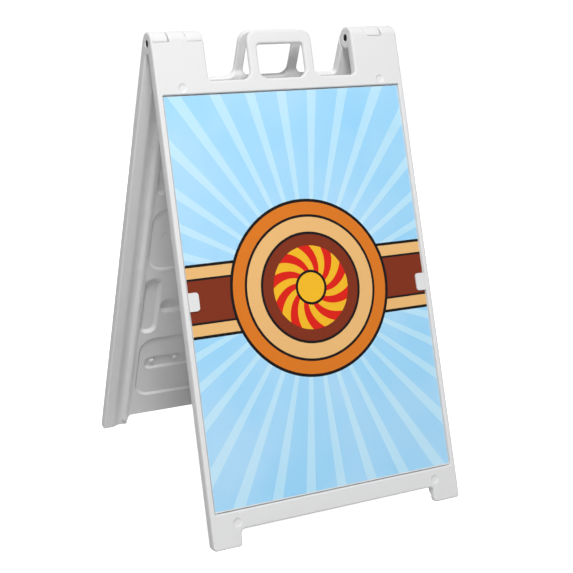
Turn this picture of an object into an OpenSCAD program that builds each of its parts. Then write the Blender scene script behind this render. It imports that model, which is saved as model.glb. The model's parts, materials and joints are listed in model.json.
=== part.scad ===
// Folding A-frame pavement sign: two hollow moulded panels on a top hinge, each with a printed board in a recess

/* [Panel] */
// Width of a panel over its two stiles
panel_w = 640; // [636:1:700]
// Depth of a panel from its outer face to the hinge plane
panel_t = 28; // [26:0.5:34]
// Lean of each panel from upright when the sign stands open
lean = 18; // [14:0.5:22]
// Wall of the hollow moulding
wall = 2.6; // [2:0.1:3]
// Depth of the panel's plate behind the header, measured from the hinge plane
plate_in = 6; // [5:0.5:8]

/* [Heights along the slope] */
// From the hinge axis down to the top edge of the header
notch_h = 95; // [85:1:110]
// Header between its top edge and the recess
header_h = 28.5; // [24:0.5:40]
// Crossbar under the recess
crossbar_h = 41.5; // [35:0.5:55]
// Feet below the crossbar
foot_h = 36; // [28:1:45]
// Width of a foot
foot_w = 70; // [62:1:75]
// How much the inner rib of a foot stops short of its sole
rib_short = 16; // [12:1:24]

/* [Printed board] */
// Width of the board
board_w = 610; // [560:1:616]
// Height of the board
board_h = 914; // [800:1:960]
// Thickness of the board
board_t = 4; // [3:0.5:5]
// Pitch of the flutes inside the board
flute_pitch = 5; // [4:0.5:8]
// Gap between the board's edge and the recess at each side
board_gap = 2; // [1.8:0.1:3]
// Spare height of the recess over the board
board_slack = 5; // [2:0.5:8]
// Depth of the recess below the stile's face
recess_d = 9; // [8:0.5:11]

/* [Carry handle] */
// Half the width of the handle
grip_half = 84; // [78:1:95]
// Height of the handle's top above the hinge axis
grip_top = 18.5; // [8:0.5:22]
// Depth of the handle from its outer face
grip_t = 13; // [12:0.5:20]
// Half the width of the finger gap
finger_half = 60; // [52:1:62]
// Lower edge of the finger gap, below the hinge axis
finger_low = 95; // [85:1:98]
// Upper edge of the finger gap, below the hinge axis
finger_high = 14.5; // [12:0.5:24]

/* [Hinge] */
// Width of an ear, which holds three knuckles
ear_w = 128; // [110:1:140]
// Radius of a knuckle
knuckle_r = 26; // [24:0.5:26]
// Gap between neighbouring knuckles
knuckle_gap = 1.2; // [0.8:0.1:2]
// Radial gap round the other panel's knuckle
notch_gap = 0.6; // [0.4:0.1:1]
// Radius of the hinge pin
pin_r = 5; // [4:0.5:6]
// Running clearance of the pin in its bore
pin_play = 0.06; // [0.02:0.01:0.1]
// Radius of the deep mouth at each end of the bore
mouth_r = 8.5; // [8:0.5:10]
// Depth of that mouth
mouth_d = 5; // [5:1:30]

/* [Clips] */
// Height of the left clip's middle above the recess floor edge
clip_left_v = 460; // [200:1:700]
// Height of the right clip's middle above the recess floor edge
clip_right_v = 439; // [200:1:700]
// Height of a clip's tab
clip_h = 41; // [30:1:50]
// How far a clip's tab reaches over the board
clip_reach = 25; // [18:1:32]
// Thickness of a clip's tab
clip_t = 3.2; // [2.5:0.1:4]
// Thickness of a clip's leg
leg_t = 1.4; // [1.2:0.1:1.6]

/* [Hidden] */

half_w = panel_w / 2;
ear_in = half_w - ear_w;
third = ear_w / 3;
foot_in = half_w - foot_w;
notch_s = -notch_h;
recess_hi = notch_s - header_h;
recess_lo = recess_hi - board_h - board_slack;
bar_s = recess_lo - crossbar_h;
foot_s = bar_s - foot_h;
recess_half = board_w / 2 + board_gap;
recess_y = recess_d - panel_t;
notch_r = knuckle_r + notch_gap;
// The sole of each foot lies flat on the ground, so the hinge axis stands this high
hinge_z = -foot_s * cos(lean) - panel_t * sin(lean);
// Rise of the sole across the depth of a foot, measured along the slope
sole_rise = panel_t * tan(lean);

// Inner side: an outer rib along the stile, a groove, an inner rib and the sunk plate
rib_y = 1;
inner_rib_y = 2;
groove_y = 9;
outer_rib_x = half_w - 28;
groove_out_x = half_w - 30;
groove_in_x = half_w - 43;
inner_rib_hi = half_w - 50;
inner_rib_lo = foot_in + 1;
rib_foot_x = foot_in - 5;

// Corner radii of the outline
fillet_r = 10;
tip_r = 6;
ear_tip_r = 7;
flare_r = 20;
grip_r = 26;
finger_top_r = 10;
finger_low_r = 20;
// The handle is thinner than the plate: it leaves the plate's inner face over this height
grip_slope = 14;
grip_y = grip_t - panel_t;
stile_r = 7;
arc_steps = 6;

// Lip in front of the other panel's knuckle, and the stop that lands on it
lip_s = -3;
stop_gap = 0.3;
stop_h = 5;
stop_reach = 1.9;
shoulder = panel_t - knuckle_r - 0.1;

// Clip: a tab over the board and a leg beside the board's edge, in a blind slot
board_lift = 0.2;
board_y = recess_y - board_lift;
tab_gap = 0.4;
tab_y = board_y - board_t - tab_gap;
tab_r = 7;
slot_gap = 0.15;
leg_x = recess_half - board_gap / 2;
leg_h = 24;
leg_depth = 7;
slot_h = leg_h + 1;
slot_depth = leg_depth + 1;

// Pin and its push-on cap
head_r = mouth_r - 0.6;
head_t = 3.2;
end_gap = 0.3;
cap_t = 3.5;
pin_tail = 4.2;

// Board skins and ribs
skin_t = 0.35;
eps = 0.01;

// Sunk pads of the inner face: middle across, middle above the recess floor edge, width, height, corner
pad_d = 4;
pads = [
    [0, 117, 480, 186, 40],
    [-146, 516, 202, 176, 40],
    [146, 516, 202, 176, 40],
    [0, 768, 400, 226, 40]];
// Deep slots where the inner skin meets the outer skin, in the same order
slot_floor = 15;
slots = [
    [-150, 127, 138, 34, 15],
    [150, 127, 138, 34, 15],
    [-225, 316, 40, 164, 18],
    [225, 316, 40, 164, 18],
    [-110, 312, 170, 37, 16],
    [110, 312, 170, 37, 16],
    [-232, 765, 26, 232, 12],
    [232, 765, 26, 232, 12],
    [-95, 768, 130, 34, 15],
    [95, 768, 130, 34, 15]];
// Round dimples of the inner face: across, above the recess floor edge, radius
dimple_floor = 13;
dimples = [for (x = [-204, -92, 92, 204]) [x, 520, 13]];
// Round dimples of the outer face, at the corners of the frame
corner_dimple_r = 10;
corner_dimple_d = 2.4;
corner_dimple_x = 257;
corner_dimple_low = recess_lo - 25;
corner_dimple_high = recess_hi + 15;

function unit(v) = v / norm(v);
function turn(a) = a > 180 ? a - 360 : a < -180 ? a + 360 : a;
// Points of the arc that rounds the corner at b, between a and c
function corner(a, b, c, r) =
    let (p = unit([a[0] - b[0], a[1] - b[1]]), q = unit([c[0] - b[0], c[1] - b[1]]))
    let (phi = acos(p * q), m = [b[0], b[1]] + unit(p + q) * r / sin(phi / 2))
    let (s = [b[0], b[1]] + p * r / tan(phi / 2) - m, e = [b[0], b[1]] + q * r / tan(phi / 2) - m)
    let (a0 = atan2(s[1], s[0]), sweep = turn(atan2(e[1], e[0]) - a0))
    [for (i = [0:arc_steps]) m + r * [cos(a0 + sweep * i / arc_steps), sin(a0 + sweep * i / arc_steps)]];
// A closed outline whose points each carry a corner radius
function rounded(pts) = let (n = len(pts))
    [for (i = [0:n - 1]) each pts[i][2] > 0
        ? corner(pts[(i + n - 1) % n], pts[i], pts[(i + 1) % n], pts[i][2]) : [[pts[i][0], pts[i][1]]]];
function mirrored(half) = [for (i = [len(half) - 1:-1:0]) [-half[i][0], half[i][1], half[i][2]]];

// Everything below is drawn in the panel's own frame: X across, Z up the slope from the hinge axis, -Y outwards.
// The argument o shrinks a shape by that much on every side, so the hollow is the form shrunk by the wall.

module front_view(pts, y0, y1) {
    translate([0, y1, 0]) rotate([90, 0, 0]) linear_extrude(y1 - y0) polygon(rounded(pts));
}

function outline_half(o) = [
    [foot_in + o, bar_s + o, fillet_r + o],
    [foot_in + o, foot_s + o + (o > 0 ? sole_rise : 0), tip_r - o],
    [half_w - o, foot_s + o + (o > 0 ? sole_rise : 0), tip_r - o],
    [half_w - o, o > 0 ? -notch_r - o : 0, 0],
    [ear_in + o, o > 0 ? -notch_r - o : 0, 0],
    [ear_in + o, notch_s - o, fillet_r + o],
    [grip_half - o, notch_s - o, flare_r + o],
    [grip_half - o, grip_top - o, grip_r - o]];

function finger_half_gap(o) = [
    [finger_half + o, -finger_low - o, finger_low_r + o],
    [finger_half + o, o - finger_high, finger_top_r + o]];

function section_half(o) = [
    [rib_foot_x, -plate_in - o, 0],
    [inner_rib_lo + o, -inner_rib_y - o, 0],
    [inner_rib_hi - o, -inner_rib_y - o, 0],
    [groove_in_x - o, -groove_y - o, 0],
    [groove_out_x + o, -groove_y - o, 0],
    [outer_rib_x + o, -rib_y - o, 0],
    [half_w - o, -rib_y - o, stile_r - o],
    [half_w - o, -panel_t + o, stile_r - o]];

module rounded_rect(x, z, w, h, r, y0, y1) {
    front_view([[x - w / 2, z - h / 2, r], [x + w / 2, z - h / 2, r], [x + w / 2, z + h / 2, r],
        [x - w / 2, z + h / 2, r]], y0, y1);
}

module inner_marks(o) {
    for (p = pads)
        rounded_rect(p[0], recess_lo + p[1], p[2] + 2 * o, p[3] + 2 * o, p[4] + o, -plate_in - pad_d - o, panel_t);
    for (p = slots)
        rounded_rect(p[0], recess_lo + p[1], p[2] + 2 * o, p[3] + 2 * o, p[4] + o, -slot_floor - o, panel_t);
    for (p = dimples)
        translate([p[0], -dimple_floor - o, recess_lo + p[1]]) rotate([-90, 0, 0])
            cylinder(h = panel_t, r = p[2] + o, $fn = 48);
}

module corner_dimples(o) {
    for (x = [-corner_dimple_x, corner_dimple_x], z = [corner_dimple_low, corner_dimple_high])
        translate([x, -panel_t + corner_dimple_d + o, z]) rotate([90, 0, 0])
            cylinder(h = panel_t, r = corner_dimple_r + o, $fn = 48);
}

module clip_slots(o) {
    for (c = [[-leg_x, clip_left_v], [leg_x, clip_right_v]])
        translate([c[0] - leg_t / 2 - slot_gap - o, -panel_t, recess_lo + c[1] - slot_h / 2 - o])
            cube([leg_t + 2 * slot_gap + 2 * o, recess_d + slot_depth + o, slot_h + 2 * o]);
}

module short_ribs(o) {
    for (side = [-1, 1])
        translate([side > 0 ? foot_in - 1 - o : -groove_in_x - 1 - o, -groove_y - o, foot_s - foot_h])
            cube([groove_in_x - foot_in + 2 + 2 * o, panel_t, foot_h + rib_short + o]);
}

module grip_relief(o) {
    reach = grip_half + flare_r + 2 * wall;
    translate([-reach, 0, 0]) rotate([90, 0, 90]) linear_extrude(2 * reach)
        polygon([[grip_y - o, 2 * panel_t], [grip_y - o, notch_s + grip_slope - o], [-plate_in - o, notch_s - o],
            [panel_t, notch_s - o], [panel_t, 2 * panel_t]]);
}

module form(o) {
    difference() {
        intersection() {
            front_view(concat(outline_half(o), mirrored(outline_half(o))), -2 * panel_t, panel_t);
            translate([0, 0, foot_s - panel_t]) linear_extrude(-foot_s + 2 * panel_t)
                polygon(rounded(concat(section_half(o), mirrored(section_half(o)))));
        }
        front_view(concat(finger_half_gap(o), mirrored(finger_half_gap(o))), -2 * panel_t, panel_t);
        grip_relief(o);
        translate([-recess_half - o, -2 * panel_t, recess_lo - o])
            cube([2 * (recess_half + o), 2 * panel_t + recess_y + o, recess_hi - recess_lo + 2 * o]);
        inner_marks(o);
        corner_dimples(o);
        clip_slots(o);
        short_ribs(o);
    }
}

// Start of knuckle number i from the outer end of an ear, on the side given by its sign
function knuckle_x(side, i) = side > 0 ? half_w - (i + 1) * third : -half_w + i * third;
// Knuckles of a panel: the middle one of its left ear, the two outer ones of its right ear
own_knuckles = [[-1, 1], [1, 0], [1, 2]];
free_thirds = [[-1, 0], [-1, 2], [1, 1]];

module along_x(x, len, r, fn) {
    translate([x, 0, 0]) rotate([0, 90, 0]) cylinder(h = len, r = r, $fn = fn);
}

// The other panel's frame, seen from this one with the sign open
module other_panel() {
    rotate([2 * lean, 0, 0]) rotate([0, 0, 180]) children();
}

module knuckle(x) {
    w = third - knuckle_gap;
    difference() {
        union() {
            along_x(x, w, knuckle_r, 96);
            translate([0, -shoulder, 0]) along_x(x, w, knuckle_r, 96);
            other_panel() translate([-x - w, -knuckle_r - stop_reach, lip_s + stop_gap])
                cube([w, 2 * stop_reach, stop_h]);
        }
        difference() {
            along_x(x + wall, w - 2 * wall, knuckle_r - wall, 96);
            along_x(x, w, mouth_r + wall, 96);
        }
    }
}

module ear_face() {
    for (side = [-1, 1])
        rounded_rect(side * (half_w - ear_w / 2), 0, ear_w, 2 * knuckle_r + 1, ear_tip_r, -2 * panel_t, 2 * panel_t);
}

module notches() {
    for (k = free_thirds) {
        x = knuckle_x(k[0], k[1]) - knuckle_gap / 2;
        w = third + knuckle_gap;
        along_x(x, w, notch_r, 96);
        translate([x, -2 * panel_t, lip_s]) cube([w, 3 * panel_t, 2 * panel_t]);
    }
}

module panel() {
    difference() {
        union() {
            difference() {
                form(0);
                form(wall);
                notches();
                for (k = own_knuckles)
                    along_x(knuckle_x(k[0], k[1]) + knuckle_gap / 2 + wall, third - knuckle_gap - 2 * wall,
                        knuckle_r - wall, 96);
            }
            intersection() {
                union() for (k = own_knuckles) knuckle(knuckle_x(k[0], k[1]) + knuckle_gap / 2);
                ear_face();
            }
        }
        for (side = [-1, 1]) {
            x = side > 0 ? ear_in : -half_w;
            along_x(x - 1, ear_w + 2, pin_r + pin_play, 64);
            along_x(x - 1, mouth_d + 1, mouth_r, 64);
            along_x(x + ear_w - mouth_d, mouth_d + 1, mouth_r, 64);
        }
    }
}

module stand() {
    translate([0, 0, hinge_z]) rotate([-lean, 0, 0]) children();
}

module turned() {
    rotate([0, 0, 180]) children();
}

module on_ground() {
    difference() {
        children();
        translate([-panel_w, -panel_w, -panel_t]) cube([2 * panel_w, 2 * panel_w, panel_t]);
    }
}

module front_panel() {
    color([0.93, 0.93, 0.92]) on_ground() stand() panel();
}

module rear_panel() {
    color([0.88, 0.88, 0.87]) on_ground() turned() stand() panel();
}

module pin(side) {
    x0 = side > 0 ? ear_in : -half_w;
    color([0.55, 0.56, 0.57]) translate([0, 0, hinge_z]) {
        along_x(x0 + mouth_d - end_gap - head_t, head_t, head_r, 64);
        along_x(x0 + mouth_d - end_gap - eps, ear_w - 2 * mouth_d + 2 * end_gap + pin_tail, pin_r, 64);
    }
}

module pin_cap(side) {
    x1 = side > 0 ? half_w - mouth_d : -ear_in - mouth_d;
    color([0.3, 0.31, 0.32]) translate([0, 0, hinge_z]) difference() {
        along_x(x1 + end_gap, cap_t, head_r, 64);
        along_x(x1, 2 * cap_t, pin_r, 64);
    }
}

module left_hinge_pin() {
    pin(-1);
}

module right_hinge_pin() {
    pin(1);
}

module left_pin_cap() {
    pin_cap(-1);
}

module right_pin_cap() {
    pin_cap(1);
}

// Fluted board: two skins and upright ribs, held in the middle of the recess by the clips
module board() {
    flutes = floor((board_w - 2 * flute_pitch) / flute_pitch);
    color([0.66, 0.87, 1]) difference() {
        translate([-board_w / 2, board_y - board_t, recess_lo + board_slack / 2]) cube([board_w, board_t, board_h]);
        for (i = [0:flutes - 1])
            translate([(i - flutes / 2) * flute_pitch + skin_t / 2, board_y - board_t + skin_t, recess_lo - 1])
                cube([flute_pitch - skin_t, board_t - 2 * skin_t, board_h + board_slack]);
    }
}

module front_board() {
    stand() board();
}

module rear_board() {
    turned() stand() board();
}

module clip(side, v) {
    reach = clip_reach - leg_t / 2;
    in_x = leg_x - reach;
    out_x = leg_x + leg_t / 2;
    color([0.86, 0.86, 0.86]) translate([0, 0, recess_lo + v]) mirror([side > 0 ? 0 : 1, 0, 0]) union() {
        front_view([[in_x, -clip_h / 2, tab_r], [out_x, -clip_h / 2, 0], [out_x, clip_h / 2, 0],
            [in_x, clip_h / 2, tab_r]], tab_y - clip_t, tab_y);
        translate([leg_x - leg_t / 2, tab_y - eps, -leg_h / 2])
            cube([leg_t, recess_y + leg_depth - tab_y + eps, leg_h]);
    }
}

module front_left_clip() {
    stand() clip(-1, clip_left_v);
}

module front_right_clip() {
    stand() clip(1, clip_right_v);
}

module rear_left_clip() {
    turned() stand() clip(-1, clip_left_v);
}

module rear_right_clip() {
    turned() stand() clip(1, clip_right_v);
}

front_panel();
rear_panel();
left_hinge_pin();
right_hinge_pin();
left_pin_cap();
right_pin_cap();
front_board();
rear_board();
front_left_clip();
front_right_clip();
rear_left_clip();
rear_right_clip();
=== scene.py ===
import json
import math
import bpy
import bmesh
import numpy as np
from mathutils import Matrix, Vector
from mathutils.geometry import delaunay_2d_cdt


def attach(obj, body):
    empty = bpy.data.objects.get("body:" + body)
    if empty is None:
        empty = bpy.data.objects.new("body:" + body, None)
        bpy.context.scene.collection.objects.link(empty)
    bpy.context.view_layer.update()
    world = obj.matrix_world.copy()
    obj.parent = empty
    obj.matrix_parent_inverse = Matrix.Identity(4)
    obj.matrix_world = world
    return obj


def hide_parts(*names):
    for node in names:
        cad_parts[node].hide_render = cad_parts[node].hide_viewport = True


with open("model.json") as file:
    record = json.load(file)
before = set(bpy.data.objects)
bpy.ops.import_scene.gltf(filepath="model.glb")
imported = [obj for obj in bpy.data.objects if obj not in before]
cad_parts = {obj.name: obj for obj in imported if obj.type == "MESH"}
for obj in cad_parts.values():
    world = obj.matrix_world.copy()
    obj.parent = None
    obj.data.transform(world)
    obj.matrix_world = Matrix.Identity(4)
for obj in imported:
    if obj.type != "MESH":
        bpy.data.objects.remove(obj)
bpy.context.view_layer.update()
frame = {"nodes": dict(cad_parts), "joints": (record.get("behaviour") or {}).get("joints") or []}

mm = 0.001  # the dictionaries below are in millimetres, the scene in metres
shortest = 0.01  # steps of an outline below this are dropped
fold = next(j for j in frame["joints"] if j["name"] == "fold")
hingeHeight = fold["pos_m"][2]
lean = math.radians(fold["range_deg"][1] / 2)

# A panel is drawn in its own frame: X across, Z up the slope from the hinge axis, -Y outwards
stand = Matrix.Translation((0, 0, hingeHeight)) @ Matrix.Rotation(-lean, 4, "X") @ Matrix.Scale(mm, 4)
halfTurn = Matrix.Rotation(math.pi, 4, "Z")
placeOf = {"front": stand, "rear": halfTurn @ stand}


# Outlines and meshes

def roundedLoop(corners, turnStep=9):  # corners are (x, s, radius), counter-clockwise
    loop = []
    for i, (x, s, radius) in enumerate(corners):
        here = Vector((x, s))
        if radius == 0:
            loop.append(here)
            continue
        before = (Vector(corners[i - 1][:2]) - here).normalized()
        after = (Vector(corners[(i + 1) % len(corners)][:2]) - here).normalized()
        half = before.angle(after) / 2
        centre = here + (before + after).normalized() * radius / math.sin(half)
        start = here + before * radius / math.tan(half) - centre
        end = here + after * radius / math.tan(half) - centre
        first = math.atan2(start.y, start.x)
        sweep = (math.atan2(end.y, end.x) - first + math.pi) % (2 * math.pi) - math.pi
        steps = max(2, math.ceil(math.degrees(abs(sweep)) / turnStep))
        for k in range(steps + 1):
            a = first + sweep * k / steps
            loop.append(centre + radius * Vector((math.cos(a), math.sin(a))))
    return loop


def spaced(loop, longest):  # the same loop with no step longer than that
    points = []
    for a, b in zip(loop, loop[1:] + loop[:1]):
        if (b - a).length > shortest:
            steps = math.ceil((b - a).length / longest)
            points += [a.lerp(b, k / steps) for k in range(steps)]
    return np.array(points)


def rectLoop(x, s, width, height, radius):
    w, h = width / 2, height / 2
    return roundedLoop([(x - w, s - h, radius), (x + w, s - h, radius),
                        (x + w, s + h, radius), (x - w, s + h, radius)])


def inset(loop, distance):  # a counter-clockwise loop moved inwards, a clockwise one outwards
    ahead = np.roll(loop, -1, 0) - loop
    behind = loop - np.roll(loop, 1, 0)
    along = sum(part / np.linalg.norm(part, axis=1)[:, None] for part in (ahead, behind))
    inward = np.stack([-along[:, 1], along[:, 0]], 1)
    return loop + distance * inward / np.linalg.norm(inward, axis=1)[:, None]


def edgeDistance(points, loops):
    best = np.full(len(points), 1e9)
    for loop in loops:
        for a, b in zip(loop, np.roll(loop, -1, 0)):
            t = np.clip((points - a) @ (b - a) / ((b - a) @ (b - a)), 0, 1)
            best = np.minimum(best, np.linalg.norm(points - a - t[:, None] * (b - a), axis=1))
    return best


def inside(points, loops):  # even-odd rule, so a loop inside another is a hole
    odd = np.zeros(len(points), bool)
    for loop in loops:
        for a, b in zip(loop, np.roll(loop, -1, 0)):
            if a[1] != b[1]:
                across = (a[1] > points[:, 1]) != (b[1] > points[:, 1])
                odd ^= across & (points[:, 0] < a[0] + (points[:, 1] - a[1]) * (b[0] - a[0]) / (b[1] - a[1]))
    return odd


def thinned(points, kept, gap):  # drops each point that lies closer than gap to one already kept
    cells = {}
    for p in kept:
        cells.setdefault((int(p[0] // gap), int(p[1] // gap)), []).append(p)
    chosen = []
    for p in points:
        i, j = int(p[0] // gap), int(p[1] // gap)
        near = [q for di in (-1, 0, 1) for dj in (-1, 0, 1) for q in cells.get((i + di, j + dj), ())]
        if all((q[0] - p[0]) ** 2 + (q[1] - p[1]) ** 2 >= gap * gap for q in near):
            chosen.append(p)
            cells.setdefault((i, j), []).append(p)
    return chosen


# Flat triangles over the area inside the loops, where the layers are (points, gap)
def triangulated(loops, creases, layers, edgeGap=0.2, tolerance=1e-5):
    rings = loops + creases
    points = [p for loop in rings for p in loop]
    for layer, gap in layers:
        layer = np.array(layer)
        layer = layer[inside(layer, loops) & (edgeDistance(layer, loops) > edgeGap)]
        points += thinned(layer, points, gap)
    edges, start = [], 0
    for loop in rings:
        edges += [(start + i, start + (i + 1) % len(loop)) for i in range(len(loop))]
        start += len(loop)
    flat, _, faces, _, _, _ = delaunay_2d_cdt([Vector(p) for p in points], edges, [], 0, tolerance)
    flat = np.array([tuple(p) for p in flat])
    faces = np.array([tuple(f) for f in faces])
    return flat, faces[inside(flat[faces].mean(1), loops)]


def ease(t):
    t = np.clip(t, 0, 1)
    return t * t * (3 - 2 * t)


def roundOver(distance, radius):  # how far a face has dropped at that distance inside a rounded edge
    short = np.clip(radius - distance, 0, radius)
    return radius - np.sqrt(radius ** 2 - short ** 2)


def rectDistance(x, s, mark):  # signed distance to a rounded rectangle, negative inside
    cx, cs, width, height, radius = mark
    dx = np.abs(x - cx) - width / 2 + radius
    ds = np.abs(s - cs) - height / 2 + radius
    return np.hypot(np.maximum(dx, 0), np.maximum(ds, 0)) + np.minimum(np.maximum(dx, ds), 0) - radius


def loft(stations, section):  # stations are (x, shrink), section(shrink) gives the loop of (y, z)
    bm = bmesh.new()
    rings = [[bm.verts.new((x, y, z)) for y, z in section(shrink)] for x, shrink in stations]
    for a, b in zip(rings, rings[1:]):
        for i in range(len(a)):
            j = (i + 1) % len(a)
            bm.faces.new((a[i], a[j], b[j], b[i]))
    bm.faces.new(rings[0])
    bm.faces.new(rings[-1])
    bmesh.ops.recalc_face_normals(bm, faces=bm.faces)
    return bm


def meshFrom(bm, name):
    mesh = bpy.data.meshes.new(name)
    bm.to_mesh(mesh)
    bm.free()
    return mesh


def joined(parts, name):
    whole = bmesh.new()
    for part in parts:
        mesh = meshFrom(part, "part")
        whole.from_mesh(mesh)
        bpy.data.meshes.remove(mesh)
    return meshFrom(whole, name)


def carved(mesh, tool, operation):  # a mesh with another one added or cut away
    body = bpy.data.objects.new("body", mesh)
    cutter = bpy.data.objects.new("cutter", tool)
    for obj in (body, cutter):
        bpy.context.scene.collection.objects.link(obj)
    step = body.modifiers.new("carve", "BOOLEAN")
    step.operation = operation
    step.solver = "MANIFOLD"
    step.object = cutter
    result = bpy.data.meshes.new_from_object(body.evaluated_get(bpy.context.evaluated_depsgraph_get()))
    for obj in (body, cutter):
        bpy.data.objects.remove(obj)
    return result


def addPiece(name, mesh, place, materials, body, sharpAngle=40):
    mesh.transform(place)
    if sharpAngle:
        mesh.shade_smooth()
        mesh.set_sharp_from_angle(angle=math.radians(sharpAngle))
    for material in materials:
        mesh.materials.append(material)
    obj = bpy.data.objects.new(name, mesh)
    bpy.context.scene.collection.objects.link(obj)
    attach(obj, body)
    return obj


def evenNormals(obj):
    step = obj.modifiers.new("normals", "WEIGHTED_NORMAL")
    step.mode = "FACE_AREA_WITH_ANGLE"
    step.keep_sharp = True


# Materials

def linear(hexColour):
    rgb = [int(hexColour[i:i + 2], 16) / 255 for i in (1, 3, 5)]
    return [*(c / 12.92 if c <= 0.04045 else ((c + 0.055) / 1.055) ** 2.4 for c in rgb), 1]


def newMaterial(name, colour, roughness):
    material = bpy.data.materials.new(name)
    material.use_nodes = True
    shader = material.node_tree.nodes["Principled BSDF"]
    shader.inputs["Base Color"].default_value = linear(colour)
    shader.inputs["Roughness"].default_value = roughness
    return material, material.node_tree, shader


def addNoise(tree, scale, detail=2, stretch=None):
    place = tree.nodes.new("ShaderNodeTexCoord").outputs["Object"]
    if stretch:
        mapping = tree.nodes.new("ShaderNodeMapping")
        mapping.inputs["Scale"].default_value = stretch
        tree.links.new(place, mapping.inputs["Vector"])
        place = mapping.outputs["Vector"]
    noise = tree.nodes.new("ShaderNodeTexNoise")
    noise.inputs["Scale"].default_value = scale
    noise.inputs["Detail"].default_value = detail
    tree.links.new(place, noise.inputs["Vector"])
    return noise.outputs["Fac"]


def remap(tree, value, low, high, toLow, toHigh):
    node = tree.nodes.new("ShaderNodeMapRange")
    for socket, number in zip(("From Min", "From Max", "To Min", "To Max"), (low, high, toLow, toHigh)):
        node.inputs[socket].default_value = number
    tree.links.new(value, node.inputs["Value"])
    return node.outputs["Result"]


def addBump(tree, shader, height, distance, strength=1, under=None):
    bump = tree.nodes.new("ShaderNodeBump")
    bump.inputs["Distance"].default_value = distance
    bump.inputs["Strength"].default_value = strength
    tree.links.new(height, bump.inputs["Height"])
    if under:
        tree.links.new(under, bump.inputs["Normal"])
    tree.links.new(bump.outputs["Normal"], shader.inputs["Normal"])
    return bump.outputs["Normal"]


def mixColours(tree, share, first, second):
    mix = tree.nodes.new("ShaderNodeMix")
    mix.data_type = "RGBA"
    for socket, value in ((0, share), (6, first), (7, second)):
        if isinstance(value, bpy.types.NodeSocket):
            tree.links.new(value, mix.inputs[socket])
        else:
            mix.inputs[socket].default_value = value
    return mix.outputs[2]


plastic = dict(
    colour="#EDEDEB", patchColour="#E6E6E4", roughness=(0.36, 0.5), softness=0.04, softReach=0.004,
    patchScale=7, sheenScale=60, waveScale=11, waveDepth=0.0009,
    grainScale=900, grainDepth=0.00006, grainStrength=0.6)


def mouldedPlastic():
    p = plastic
    material, tree, shader = newMaterial("panel_polyethylene", p["colour"], p["roughness"][0])
    patches = remap(tree, addNoise(tree, p["patchScale"], 3), 0.35, 0.65, 0, 1)
    colour = mixColours(tree, patches, linear(p["colour"]), linear(p["patchColour"]))
    tree.links.new(colour, shader.inputs["Base Color"])
    sheen = remap(tree, addNoise(tree, p["sheenScale"], 3), 0.3, 0.7, *p["roughness"])
    tree.links.new(sheen, shader.inputs["Roughness"])
    wave = addBump(tree, shader, addNoise(tree, p["waveScale"], 1), p["waveDepth"])
    addBump(tree, shader, addNoise(tree, p["grainScale"], 2), p["grainDepth"], p["grainStrength"], wave)
    shader.inputs["Subsurface Weight"].default_value = p["softness"]
    shader.inputs["Subsurface Radius"].default_value = (p["softReach"],) * 3
    return material


# A plain finish with a second tone in patches and a fine grain
def patchedMaterial(name, finish):
    f = finish
    material, tree, shader = newMaterial(name, f["colour"], f["roughness"])
    patches = remap(tree, addNoise(tree, f["patchScale"], f["patchDetail"]), 0.3, 0.7, 0, 1)
    tone = mixColours(tree, patches, linear(f["colour"]), linear(f["patchColour"]))
    tree.links.new(tone, shader.inputs["Base Color"])
    grain = addNoise(tree, f["grainScale"], 2, f.get("grainStretch"))
    addBump(tree, shader, grain, f["grainDepth"], f["grainStrength"])
    shader.inputs["Metallic"].default_value = f.get("metallic", 0)
    return material


# The panel

panel = dict(
    halfWidth=320, depth=28, plateIn=6, earIn=192, earThird=128 / 3, footIn=250,
    notchTop=-95, recessTop=-123.5, recessLow=-1042.5, barLow=-1084, footLow=-1120,
    gripHalf=84, gripTop=18.5, gripIn=-15, gripBlend=16, gripMargin=4,
    fingerHalf=60, fingerLow=-95, fingerHigh=-14.5, earTop=8, earRadius=6,
    filletRadius=10, tipRadius=9, flareRadius=20, gripRadius=26, fingerTopRadius=9, fingerLowRadius=20,
    rimRadius=4.5, gripRimRadius=6, innerRimRadius=4, gripInnerRadius=5)

# How finely the two faces are cut into triangles
meshing = dict(
    outlineStep=11, fingerStep=8, recessStep=8, gridStep=22, gridGap=7, weld=0.02,
    outerRims=(0.3, 1.1, 2.4, 4.2, 6.6, 9.6), outerGap=0.7, dimpleRing=8, dimpleStep=3,
    innerRims=(0.25, 0.9, 1.9, 3, 4.4, 6.3), innerGap=0.5,
    rampShares=(-1, -0.75, -0.45, -0.15, 0.15, 0.45, 0.75, 1),
    ribGap=0.9, ribStep=16, footStart=2, footEnd=34, footStep=3)

# How far the face has dropped into the recess, by distance outside its edge
recessWall = dict(
    at=(-2, -0.25, 0, 0.3, 0.7, 1.4, 2.4, 3.4), drop=(9, 8.9, 7.5, 3, 1.4, 0.5, 0.1, 0),
    halfWidth=307, cornerRadius=3)

# Inner face across a stile: plate, inner rib, groove, outer rib
# The inner rib ends above the foot, on the groove's floor
stileProfile = dict(
    across=(247, 249.5, 252, 254, 256, 258.5, 261, 263, 264.7, 266.3, 268, 270,
            273, 278, 283, 288, 292, 296),
    level=(-6, -5.7, -4.9, -3.6, -2.6, -2.1, -2, -2.7, -4.8, -7.8, -9.7, -10.4,
           -10.4, -9.5, -7, -3.9, -1.9, -1),
    grooveFloor=12, shortRib=16, shortRibEase=8, shortRibReach=30)

cornerDimple = dict(x=257, low=-25, high=15, at=(0, 6, 8, 10, 11), drop=(2.4, 2.4, 1.9, 0.35, 0))

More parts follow.
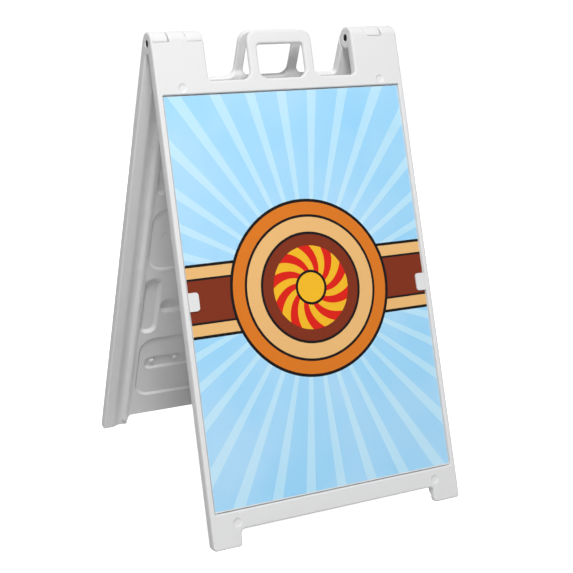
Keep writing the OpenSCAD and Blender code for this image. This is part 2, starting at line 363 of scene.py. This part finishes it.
# Marks of the inner face: middle across, middle above the recess's lower edge, width, height, corner radius
pads = dict(depth=5.4, ramp=3.7, step=7, marks=[
    (0, 117, 480, 186, 40), (-146, 516, 202, 176, 40), (146, 516, 202, 176, 40), (0, 768, 400, 226, 40)])
slots = dict(floor=-16.6, ramp=4.2, step=5, marks=[
    mark for side in (-1, 1) for mark in (
        (side * 150, 127, 138, 34, 15), (side * 225, 316, 40, 164, 18), (side * 110, 312, 170, 37, 16),
        (side * 232, 765, 26, 232, 12), (side * 95, 768, 130, 34, 15))])
dimples = dict(floor=-13.5, ramp=3.4, step=3, marks=[(x, 520, 26, 26, 13) for x in (-204, -92, 92, 204)])
pips = dict(floor=-10.5, ramp=2.2, step=1.5, marks=[
    (side * x, 131, 11, 11, 5.5) for side in (-1, 1) for x in (133, 199)])

# The mouth's flare is (how deep, how much wider than the mouth)
knuckle = dict(
    radius=26, shoulder=1.9, gap=1.2, notchRadius=27.1, lip=-3.8, cornerRound=4.5, edgeRound=4,
    notchOverrun=5, notchReach=80, pinBore=5.06, pinFrom=3, pinTo=125,
    mouthRadius=8.5, mouthDepth=5, mouthFlare=((-3, 3.2), (0.6, 0.8), (1.2, 0.36), (2.4, 0)),
    heelLow=-2.7, heelHigh=2.3, heelIn=24.2, heelOut=27.8, heelRound=1, heelTaper=0.3)

clipPlaces = {"left": (-1, 460), "right": (1, 439)}
clipSlot = dict(x=306, halfWidth=0.85, height=25, floor=-11, mouth=-22)
groundBlock = dict(size=(1, 1, 0.2), middle=(0, -0.3, -0.1))  # in metres, its top on the ground


def panelLoops():
    p = panel
    half = [
        (p["footIn"], p["barLow"], p["filletRadius"]), (p["footIn"], p["footLow"], p["tipRadius"]),
        (p["halfWidth"], p["footLow"], p["tipRadius"]), (p["halfWidth"], p["earTop"], p["earRadius"]),
        (p["earIn"], p["earTop"], p["earRadius"]), (p["earIn"], p["notchTop"], p["filletRadius"]),
        (p["gripHalf"], p["notchTop"], p["flareRadius"]), (p["gripHalf"], p["gripTop"], p["gripRadius"])]
    finger = [(p["fingerHalf"], p["fingerLow"], p["fingerLowRadius"]),
              (p["fingerHalf"], p["fingerHigh"], p["fingerTopRadius"])]
    outline = half + [(-x, s, r) for x, s, r in reversed(half)]
    hole = finger + [(-x, s, r) for x, s, r in reversed(finger)]
    return [spaced(roundedLoop(outline), meshing["outlineStep"]),
            spaced(roundedLoop(hole), meshing["fingerStep"])[::-1]]


def gripShare(x, s):  # 1 on the handle, 0 on the rest of the panel
    p = panel
    onGrip = np.abs(x) < p["gripHalf"] + p["flareRadius"] + p["gripMargin"]
    return ease((s - p["notchTop"]) / p["gripBlend"]) * onGrip


def rimRadii(x, s):
    p, share = panel, gripShare(x, s)
    return (p["rimRadius"] + (p["gripRimRadius"] - p["rimRadius"]) * share,
            p["innerRimRadius"] + (p["gripInnerRadius"] - p["innerRimRadius"]) * share)


def recessMark():
    p = panel
    return (0, (p["recessTop"] + p["recessLow"]) / 2, 2 * recessWall["halfWidth"],
            p["recessTop"] - p["recessLow"], recessWall["cornerRadius"])


def cornerDimplePlaces():
    c, p = cornerDimple, panel
    heights = (p["recessLow"] + c["low"], p["recessTop"] + c["high"])
    return [(x, s) for x in (-c["x"], c["x"]) for s in heights]


def outerLevel(x, s, rim):
    level = -panel["depth"] + roundOver(rim, rimRadii(x, s)[0])
    level += np.interp(rectDistance(x, s, recessMark()), recessWall["at"], recessWall["drop"])
    for cx, cs in cornerDimplePlaces():
        level += np.interp(np.hypot(x - cx, s - cs), cornerDimple["at"], cornerDimple["drop"])
    return level


def innerBase(x, s):
    f = stileProfile
    level = np.interp(np.abs(x), f["across"], f["level"])
    level += (panel["gripIn"] + panel["plateIn"]) * gripShare(x, s)
    footTop = panel["footLow"] + f["shortRib"]
    ribShare = np.where(s < footTop + f["shortRibReach"], ease((s - footTop) / f["shortRibEase"]), 1)
    floor = f["level"][f["grooveFloor"]]
    onRib = np.abs(x) < f["across"][f["grooveFloor"]]
    return np.where(onRib, floor + (level - floor) * ribShare, level)


def innerLevel(x, s, rim):
    level = innerBase(x, s)
    for mark in pads["marks"]:
        far = rectDistance(x, s, raised(mark))
        level = level - pads["depth"] * ease(0.5 - far / (2 * pads["ramp"]))
    for group in (slots, dimples, pips):
        for mark in group["marks"]:
            sunk = ease(0.5 - rectDistance(x, s, raised(mark)) / (2 * group["ramp"]))
            level = level + (group["floor"] - level) * sunk
    return level - roundOver(rim, rimRadii(x, s)[1])


def raised(mark):  # marks are measured from the recess's lower edge
    return (mark[0], mark[1] + panel["recessLow"], *mark[2:])


def ringsRound(mark, offsets, longest):  # the same points moved in and out, so that rings line up
    loop = spaced(rectLoop(*mark), longest)
    return [inset(loop, -offset) for offset in offsets]


def pointsOf(rings):
    return [p for ring in rings for p in ring]


def insetPoints(loops, distances):
    return [q for loop in loops for d in distances for q in inset(loop, d)]


def evenGrid():
    p, step = panel, meshing["gridStep"]
    return [(x, s) for x in np.arange(-p["halfWidth"], p["halfWidth"], step)
            for s in np.arange(p["footLow"], p["gripTop"], step)]


def outerLayers(loops):
    m, marks = meshing, []
    offsets = [a - m["dimpleRing"] for a in cornerDimple["at"][1:]]
    for x, s in cornerDimplePlaces():
        ring = (x, s, 2 * m["dimpleRing"], 2 * m["dimpleRing"], m["dimpleRing"])
        marks += pointsOf(ringsRound(ring, offsets, m["dimpleStep"]))
    return (insetPoints(loops, m["outerRims"]) + marks, m["outerGap"]), (evenGrid(), m["gridGap"])


def innerLayers(loops):
    m, low = meshing, panel["footLow"]
    heights = [*np.arange(low + m["footStart"], low + m["footEnd"], m["footStep"]),
               *np.arange(low + m["footEnd"], panel["earTop"], m["ribStep"])]
    ribs = [(side * x, s) for side in (-1, 1) for x in stileProfile["across"] for s in heights]
    marks = []
    for group in (pips, dimples, slots, pads):
        offsets = [group["ramp"] * share for share in m["rampShares"]]
        for mark in group["marks"]:
            marks += pointsOf(ringsRound(raised(mark), offsets, group["step"]))
    return ((insetPoints(loops, m["innerRims"]), m["innerGap"]), (marks, m["innerGap"]),
            (ribs, m["ribGap"]), (evenGrid(), m["gridGap"]))


def panelPlate():  # the flat part of the panel as one closed mesh
    loops = panelLoops()
    bm = bmesh.new()
    recessRings = ringsRound(recessMark(), recessWall["at"], meshing["recessStep"])
    for creases, layers, level in ((recessRings, outerLayers(loops), outerLevel),
                                   ([], innerLayers(loops), innerLevel)):
        flat, faces = triangulated(loops, creases, layers)
        x, s = flat.T
        y = level(x, s, edgeDistance(flat, loops))
        verts = [bm.verts.new(v) for v in zip(x, y, s)]
        for a, b, c in faces:
            bm.faces.new((verts[a], verts[b], verts[c]))
    for loop in loops:
        x, s = loop.T
        zero = np.zeros(len(loop))
        low, high = outerLevel(x, s, zero), innerLevel(x, s, zero)
        rows = [[bm.verts.new(v) for v in zip(x, low + (high - low) * t, s)] for t in (0, 0.5, 1)]
        for a, b in zip(rows, rows[1:]):
            for i in range(len(loop)):
                j = (i + 1) % len(loop)
                bm.faces.new((a[i], a[j], b[j], b[i]))
    bmesh.ops.remove_doubles(bm, verts=bm.verts, dist=meshing["weld"])
    bmesh.ops.recalc_face_normals(bm, faces=bm.faces)
    print("plate", len(bm.verts), "points, open edges", sum(not e.is_manifold for e in bm.edges))
    return meshFrom(bm, "panel_plate")


def barrelSection(shrink):  # a knuckle seen along the pin, with its flat outer shoulder
    radius, steps = knuckle["radius"] - shrink, 32
    loop = []
    for k in range(2 * steps + 2):
        upper = k <= steps
        a = math.pi * (k - (0 if upper else 1)) / steps - math.pi / 2
        loop.append((radius * math.cos(a) - (0 if upper else knuckle["shoulder"]), radius * math.sin(a)))
    return loop


def roundedEnds(x0, x1, first, last, steps=5):  # stations whose ends are rounded by those radii
    quarter = [math.pi / 2 * k / steps for k in range(steps, -1, -1)]
    return ([(x0 + first * (1 - math.sin(a)), first * (1 - math.cos(a))) for a in quarter]
            + [(x1 - last * (1 - math.sin(a)), last * (1 - math.cos(a))) for a in reversed(quarter)])


def thirdOfEar(side, number):  # left end of a third, counted from the outer end
    p = panel
    if side > 0:
        return p["halfWidth"] - (number + 1) * p["earThird"]
    return -p["halfWidth"] + number * p["earThird"]


def heelSection(shrink):  # in the other panel's frame, turned into this one
    k = knuckle
    corners = [(k["heelIn"], k["heelLow"]), (k["heelOut"], k["heelLow"]),
               (k["heelOut"], k["heelHigh"]), (k["heelIn"], k["heelHigh"])]
    middle = Vector(((k["heelIn"] + k["heelOut"]) / 2, (k["heelLow"] + k["heelHigh"]) / 2))
    turn = Matrix.Rotation(2 * lean, 2)
    return [turn @ (middle + (Vector(c) - middle) * (1 - k["heelTaper"] * shrink)) for c in corners]


def knuckleBodies():  # the barrels, and the heels that stop the fold on the open side
    k, barrels, heels = knuckle, [], []
    for side, number, first, last in (
            (-1, 1, k["edgeRound"], k["edgeRound"]), (1, 0, k["edgeRound"], k["cornerRound"]),
            (1, 2, k["cornerRound"], k["edgeRound"])):
        x0 = thirdOfEar(side, number) + k["gap"] / 2
        x1 = x0 + panel["earThird"] - k["gap"]
        barrels.append(loft(roundedEnds(x0, x1, first, last), barrelSection))
        heels.append(loft(roundedEnds(x0 + first, x1 - last, k["heelRound"], k["heelRound"]), heelSection))
    return barrels, heels


def notchCutters():  # room for the other panel's knuckles
    k, parts = knuckle, []
    r, lip, far = k["notchRadius"], k["lip"], k["notchReach"]
    start = math.asin(-lip / r)
    arc = [math.pi + start + (math.pi - 2 * start) * i / 40 for i in range(41)]
    hollow = [(r * math.cos(a), r * math.sin(a)) for a in arc]
    section = [(-far, far), (-far, lip), *hollow, (far, lip), (far, far)]
    past = k["notchOverrun"]
    for side, number, before, after in ((-1, 0, past, 0), (-1, 2, 0, past), (1, 1, 0, 0)):
        x0 = thirdOfEar(side, number) - k["gap"] / 2
        x1 = x0 + panel["earThird"] + k["gap"]
        parts.append(loft([(x0 - before, 0), (x1 + after, 0)], lambda shrink: section))
    return parts


def round48(radius):
    return [(radius * math.cos(math.tau * k / 48), radius * math.sin(math.tau * k / 48)) for k in range(48)]


def earStarts():
    return -panel["halfWidth"], panel["earIn"]


def mouthCutters():  # the flared mouths at both ends of each ear's bore
    k, parts = knuckle, []
    for x0 in earStarts():
        for end, inwards in ((x0, 1), (x0 + 3 * panel["earThird"], -1)):
            profile = (*k["mouthFlare"], (k["mouthDepth"], 0))
            stations = [(end + inwards * depth, k["mouthRadius"] + wider) for depth, wider in profile]
            parts.append(loft(stations, round48))
    return parts


def pinCutters():
    k = knuckle
    ends = [(k["pinFrom"], k["pinBore"]), (k["pinTo"], k["pinBore"])]
    return [loft([(x0 + x, radius) for x, radius in ends], round48) for x0 in earStarts()]


def clipSlotCutters():
    c, parts = clipSlot, []
    for side, height in clipPlaces.values():
        x, s = side * c["x"], panel["recessLow"] + height
        low, high = s - c["height"] / 2, s + c["height"] / 2
        section = [(c["mouth"], low), (c["floor"], low), (c["floor"], high), (c["mouth"], high)]
        parts.append(loft([(x - c["halfWidth"], 0), (x + c["halfWidth"], 0)], lambda shrink: section))
    return parts


def groundCutter():  # everything below the ground, seen from the panel's frame
    bm = bmesh.new()
    bmesh.ops.create_cube(bm, size=1)
    bmesh.ops.scale(bm, vec=groundBlock["size"], verts=bm.verts)
    bmesh.ops.translate(bm, vec=groundBlock["middle"], verts=bm.verts)
    bm.transform(stand.inverted())
    return bm


def panelMesh():
    mesh = panelPlate()
    mesh = carved(mesh, joined(notchCutters(), "notches"), "DIFFERENCE")
    barrels, heels = knuckleBodies()
    mesh = carved(mesh, joined(barrels, "barrels"), "UNION")
    mesh = carved(mesh, joined(heels, "heels"), "UNION")
    for cutters in (mouthCutters(), pinCutters(), clipSlotCutters(), [groundCutter()]):
        mesh = carved(mesh, joined(cutters, "cutters"), "DIFFERENCE")
    print("panel", len(mesh.vertices), "points", len(mesh.polygons), "faces")
    return mesh


shell = mouldedPlastic()
panelShape = panelMesh()
for side in ("front", "rear"):
    piece = addPiece(f"{side}_moulding", panelShape.copy(), placeOf[side], [shell],
                     f"{side}_frame", 32)
    evenNormals(piece)
    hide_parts(f"{side}_panel")
bpy.data.meshes.remove(panelShape)


# The printed board: a white fluted sheet from the frame, with a printed skin on its face

design = dict(
    width=609, low=2.5, high=913.6, face=-23.33, skin=0.12, boardGap=2.5,
    centre=(0, 457), rays=36, rayShare=0.3, bandHalf=82, bandEdges=(1, 0.92, 0.62, 0.56),
    bandInks=("outline", "tan", "outline", "brick"),
    ringEdges=(204, 197, 168, 162, 128, 122, 96, 40, 34),
    ringInks=("outline", "orange", "outline", "tan", "outline", "brick", "blades", "outline", "mustard"),
    blades=10, bladeTwist=0.55, circleSteps=120, bladeSteps=12, bandLap=0.5, rayLap=0.4, bladeLap=0.2)

inkColours = dict(
    sky="#9CD9FD", ray="#B9E7FE", outline="#1E1A1B", tan="#F0BE7B", orange="#E07C26", brick="#84351F",
    red="#E1251B", mustard="#F8BE2B")
inkNames = list(inkColours)
inkFinish = dict(roughness=(0.5, 0.62), gloss=0.12, tintScale=5, tint=0.16, darker=0.88, sheenScale=140,
                 fluteScale=31.4, fluteDepth=0.00005)


def inkMaterial(name):
    f = inkFinish
    material, tree, shader = newMaterial(f"ink_{name}", inkColours[name], f["roughness"][0])
    shader.inputs["Specular IOR Level"].default_value = f["gloss"]
    base = linear(inkColours[name])
    other = linear("#FFFFFF") if name in ("sky", "ray") else [c * f["darker"] for c in base[:3]] + [1]
    tint = remap(tree, addNoise(tree, f["tintScale"], 2), 0.3, 0.7, 0, f["tint"])
    tree.links.new(mixColours(tree, tint, base, other), shader.inputs["Base Color"])
    sheen = remap(tree, addNoise(tree, f["sheenScale"], 2), 0.3, 0.7, *f["roughness"])
    tree.links.new(sheen, shader.inputs["Roughness"])
    flutes = tree.nodes.new("ShaderNodeTexWave")
    flutes.inputs["Scale"].default_value = f["fluteScale"]
    flutes.bands_direction = "X"
    tree.links.new(tree.nodes.new("ShaderNodeTexCoord").outputs["Object"], flutes.inputs["Vector"])
    addBump(tree, shader, flutes.outputs["Fac"], f["fluteDepth"], 0.5)
    return material


def bladeRadii():
    ring = design["ringInks"].index("blades")
    return design["ringEdges"][ring + 1], design["ringEdges"][ring]


def inkAt(x, v):
    d = design
    dx, dv = x - d["centre"][0], v - d["centre"][1]
    r, angle = math.hypot(dx, dv), math.atan2(dv, dx)
    if r < d["ringEdges"][0]:
        ink = d["ringInks"][sum(r < e for e in d["ringEdges"]) - 1]
        if ink != "blades":
            return ink
        inner, outer = bladeRadii()
        turned = angle - d["bladeTwist"] * (r - inner) / (outer - inner)
        return "red" if math.floor(turned / math.tau * 2 * d["blades"]) % 2 else "mustard"
    share = abs(dv) / d["bandHalf"]
    if share < 1:
        return d["bandInks"][sum(share <= e for e in d["bandEdges"]) - 1]
    part = (angle / math.tau * d["rays"]) % 1
    return "ray" if part < d["rayShare"] else "sky"


def printLines():  # the closed lines, then the open ones, which run a little way into a ring
    d, (cx, cv) = design, design["centre"]
    left, right, low, high = -d["width"] / 2, d["width"] / 2, d["low"], d["high"]
    closed = [[(left, low), (right, low), (right, high), (left, high)]]
    for radius in d["ringEdges"]:
        turns = [math.tau * k / d["circleSteps"] for k in range(d["circleSteps"])]
        closed.append([(cx + radius * math.cos(a), cv + radius * math.sin(a)) for a in turns])
    rim = d["ringEdges"][0]
    lines = []
    for share in d["bandEdges"]:
        for sign in (-1, 1):
            v = cv + sign * share * d["bandHalf"]
            reach = math.sqrt(rim ** 2 - (v - cv) ** 2) - d["bandLap"]
            lines += [[(left, v), (cx - reach, v)], [(cx + reach, v), (right, v)]]
    for k in range(d["rays"]):
        for part in (0, d["rayShare"]):
            a = (k + part) / d["rays"] * math.tau
            c, s = math.cos(a), math.sin(a)
            far = min((right - cx) / abs(c) if abs(c) > 1e-6 else math.inf,
                      ((high - cv) if s > 0 else (cv - low)) / abs(s) if abs(s) > 1e-6 else math.inf)
            near = rim - d["rayLap"]
            lines.append([(cx + near * c, cv + near * s), (cx + far * c, cv + far * s)])
    inner, outer = bladeRadii()
    for k in range(2 * d["blades"]):
        line = []
        for t in range(d["bladeSteps"] + 1):
            r = inner - d["bladeLap"] + (outer - inner + 2 * d["bladeLap"]) * t / d["bladeSteps"]
            a = k / (2 * d["blades"]) * math.tau + d["bladeTwist"] * (r - inner) / (outer - inner)
            line.append((cx + r * math.cos(a), cv + r * math.sin(a)))
        lines.append(line)
    return closed, lines


def printMesh():
    d = design
    closed, lines = printLines()
    points, edges = [], []
    for number, line in enumerate(closed + lines):
        start = len(points)
        points += [Vector(p) for p in line]
        edges += [(start + i, start + i + 1) for i in range(len(line) - 1)]
        if number < len(closed):
            edges.append((start + len(line) - 1, start))
    flat, _, faces, _, _, _ = delaunay_2d_cdt(points, edges, [], 0, 1e-4)
    bm = bmesh.new()
    verts = [bm.verts.new((p.x, 0, p.y)) for p in flat]
    for f in faces:
        middle = sum((flat[i] for i in f), Vector((0, 0))) / 3
        if abs(middle.x) < d["width"] / 2 and d["low"] < middle.y < d["high"]:
            face = bm.faces.new([verts[i] for i in f])
            face.material_index = inkNames.index(inkAt(middle.x, middle.y))
    bmesh.ops.translate(bm, vec=(0, d["face"], panel["recessLow"] + d["boardGap"]), verts=bm.verts)
    bmesh.ops.delete(bm, geom=[v for v in bm.verts if not v.link_faces], context="VERTS")
    bmesh.ops.recalc_face_normals(bm, faces=bm.faces)
    print("print", len(bm.faces), "faces")
    return meshFrom(bm, "print")


inks = [inkMaterial(name) for name in inkNames]
printShape = printMesh()
for side in ("front", "rear"):
    piece = addPiece(f"{side}_print", printShape.copy(), placeOf[side], inks,
                     f"{side}_insert", 0)
    step = piece.modifiers.new("skin", "SOLIDIFY")
    step.thickness = design["skin"] * mm
    step.offset = 0


sheetFinish = dict(colour="#F4F5F5", patchColour="#E9ECEE", roughness=0.4, patchScale=40, patchDetail=3,
                   grainScale=300, grainDepth=0.00004, grainStrength=0.5)


def dress(node, material):
    obj = frame["nodes"][node]
    obj.data.materials.clear()
    obj.data.materials.append(material)


flutedSheet = patchedMaterial("fluted_sheet", sheetFinish)
for side in ("front", "rear"):
    dress(f"{side}_board", flutedSheet)


# Clips

clipShape = dict(inner=281.7, outer=306.7, height=41, low=-26.8, high=-23.6, corner=7, outerCorner=1.2,
                 edge=1.15, legIn=305.3, legHeight=24, legEnd=-12, legOverlap=0.3)
clipFinish = dict(colour="#D2D3D6", patchColour="#CACBCE", roughness=0.34, patchScale=90, patchDetail=2,
                  grainScale=700, grainDepth=0.00004, grainStrength=0.6)


def clipMesh(side, height):
    c = clipShape
    half = c["height"] / 2
    loop = roundedLoop([(c["inner"], -half, c["corner"]), (c["outer"], -half, c["outerCorner"]),
                        (c["outer"], half, c["outerCorner"]), (c["inner"], half, c["corner"])])
    bm = bmesh.new()
    base = [bm.verts.new((p.x, c["high"], p.y)) for p in loop]
    top = [bm.verts.new((p.x, c["low"], p.y)) for p in loop]
    bm.faces.new(base)
    bm.faces.new(top)
    for i in range(len(loop)):
        j = (i + 1) % len(loop)
        bm.faces.new((base[i], base[j], top[j], top[i]))
    edges = [e for e in bm.edges if all(v in top for v in e.verts)]
    bmesh.ops.bevel(bm, geom=edges, offset=c["edge"], segments=4, affect="EDGES", profile=0.5)
    leg = bmesh.new()
    bmesh.ops.create_cube(leg, size=1)
    legStart = c["high"] - c["legOverlap"]
    size = (c["outer"] - c["legIn"], c["legEnd"] - legStart, c["legHeight"])
    middle = ((c["outer"] + c["legIn"]) / 2, (c["legEnd"] + legStart) / 2, 0)
    bmesh.ops.scale(leg, vec=size, verts=leg.verts)
    bmesh.ops.translate(leg, vec=middle, verts=leg.verts)
    for part in (bm, leg):
        bmesh.ops.recalc_face_normals(part, faces=part.faces)
    mesh = carved(meshFrom(bm, "tab"), meshFrom(leg, "leg"), "UNION")
    mesh.transform(Matrix.Translation((0, 0, panel["recessLow"] + height)) @ Matrix.Scale(side, 4, (1, 0, 0)))
    if side < 0:
        mesh.flip_normals()
    return mesh


nylon = patchedMaterial("clip_nylon", clipFinish)
for side in ("front", "rear"):
    for hand, (sign, height) in clipPlaces.items():
        piece = addPiece(f"{side}_{hand}_snap_tab", clipMesh(sign, height), placeOf[side], [nylon],
                         f"{side}_{hand}_snap", 30)
        evenNormals(piece)
        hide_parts(f"{side}_{hand}_clip")


# Hinge metal, coloured near-black as painted shade for the deep ear bores

# The near-black pin colour and the even darker cap colour are painted shade: they stand in for the shadow
# deep inside each ear's bore, not a black zinc or blued finish
pinPaintedShade = dict(colour="#131416", patchColour="#2A2B2D", roughness=0.5, metallic=0.6,
                 patchScale=120, patchDetail=3,
                 grainScale=400, grainStretch=(1, 12, 12), grainDepth=0.00003, grainStrength=0.5)
capPaintedShade = {**pinPaintedShade, "colour": "#101113"}

pinShadeMaterial = patchedMaterial("pin_painted_shade", pinPaintedShade)
capShadeMaterial = patchedMaterial("cap_painted_shade", capPaintedShade)
for hand in ("left", "right"):
    dress(f"{hand}_hinge_pin", pinShadeMaterial)
    dress(f"{hand}_pin_cap", capShadeMaterial)


# Floor, light and camera

floorPaint = dict(size=30, colour="#C9C9C9", roughness=0.9, glow=0.9)  # the size in metres


def addFloor():
    mesh = bpy.data.meshes.new("floor")
    size = floorPaint["size"]
    corners = [(-size, -size, 0), (size, -size, 0), (size, size, 0), (-size, size, 0)]
    mesh.from_pydata(corners, [], [(0, 1, 2, 3)])
    floor = bpy.data.objects.new("floor", mesh)
    bpy.context.scene.collection.objects.link(floor)
    material, tree, shader = newMaterial("floor_paint", floorPaint["colour"], floorPaint["roughness"])
    shader.inputs["Specular IOR Level"].default_value = 0
    glow = tree.nodes.new("ShaderNodeEmission")
    seen = tree.nodes.new("ShaderNodeLightPath")
    glow.inputs["Strength"].default_value = floorPaint["glow"]
    both = tree.nodes.new("ShaderNodeAddShader")
    tree.links.new(shader.outputs[0], both.inputs[0])
    tree.links.new(glow.outputs[0], both.inputs[1])
    choose = tree.nodes.new("ShaderNodeMixShader")
    tree.links.new(seen.outputs["Is Camera Ray"], choose.inputs[0])
    tree.links.new(shader.outputs[0], choose.inputs[1])
    tree.links.new(both.outputs[0], choose.inputs[2])
    tree.links.new(choose.outputs[0], tree.nodes["Material Output"].inputs["Surface"])
    mesh.materials.append(material)


studio = dict(
    skyLight=0.29, horizonLight=0.22, groundLight=0.08,
    key=dict(at=(-1.37, -2.75, 4.5), aim=(0, -0.1, 0.5), size=1.3, power=200),
    back=dict(at=(1.8, 4.5, 2.4), aim=(0, 0.2, 0.5), size=2.4, power=160))


def addWorld():
    world = bpy.data.worlds.new("studio")
    bpy.context.scene.world = world
    world.use_nodes = True
    tree = world.node_tree
    light = tree.nodes["Background"]
    light.inputs["Color"].default_value = (1, 1, 1, 1)
    split = tree.nodes.new("ShaderNodeSeparateXYZ")
    tree.links.new(tree.nodes.new("ShaderNodeTexCoord").outputs["Generated"], split.inputs[0])
    ramp = tree.nodes.new("ShaderNodeValToRGB")
    ramp.color_ramp.elements.new(0.5)
    for stop, name in zip(ramp.color_ramp.elements, ("groundLight", "horizonLight", "skyLight")):
        stop.color = (studio[name],) * 3 + (1,)
    tree.links.new(remap(tree, split.outputs["Z"], -1, 1, 0, 1), ramp.inputs["Fac"])
    tree.links.new(ramp.outputs["Color"], light.inputs["Strength"])
    white = tree.nodes.new("ShaderNodeBackground")
    white.inputs["Color"].default_value = (1, 1, 1, 1)
    white.inputs["Strength"].default_value = 1
    seen = tree.nodes.new("ShaderNodeLightPath")
    choose = tree.nodes.new("ShaderNodeMixShader")
    tree.links.new(seen.outputs["Is Camera Ray"], choose.inputs[0])
    tree.links.new(light.outputs[0], choose.inputs[1])
    tree.links.new(white.outputs[0], choose.inputs[2])
    tree.links.new(choose.outputs[0], tree.nodes["World Output"].inputs["Surface"])


def addLamp(name, at, aim, size, power):
    lamp = bpy.data.lights.new(name, "AREA")
    lamp.shape = "DISK"
    lamp.size = size
    lamp.energy = power
    obj = bpy.data.objects.new(name, lamp)
    bpy.context.scene.collection.objects.link(obj)
    obj.location = at
    obj.visible_camera = False
    obj.rotation_euler = (Vector(aim) - Vector(at)).to_track_quat("-Z", "Y").to_euler()


view = dict(frameSize=573, focal=1121.5, centre=(200, 220), at=(-1.2354, -2.3536, 1.2365),
            yaw=23.972, pitch=-13.0, roll=0.04)


def addCamera():
    v = view
    camera = bpy.data.cameras.new("camera")
    camera.sensor_width = 36
    camera.lens = 36 * v["focal"] / v["frameSize"]
    camera.shift_x = 0.5 - v["centre"][0] / v["frameSize"]
    camera.shift_y = v["centre"][1] / v["frameSize"] - 0.5
    obj = bpy.data.objects.new("camera", camera)
    bpy.context.scene.collection.objects.link(obj)
    yaw, pitch, roll = (math.radians(v[name]) for name in ("yaw", "pitch", "roll"))
    turn = (Matrix.Rotation(-yaw, 4, "Z") @ Matrix.Rotation(math.pi / 2 + pitch, 4, "X")
            @ Matrix.Rotation(roll, 4, "Z"))
    obj.matrix_world = Matrix.Translation(v["at"]) @ turn
    bpy.context.scene.camera = obj


addFloor()
addWorld()
for lampName in ("key", "back"):
    addLamp(lampName, **studio[lampName])
addCamera()
bpy.context.scene.view_settings.view_transform = "Standard"
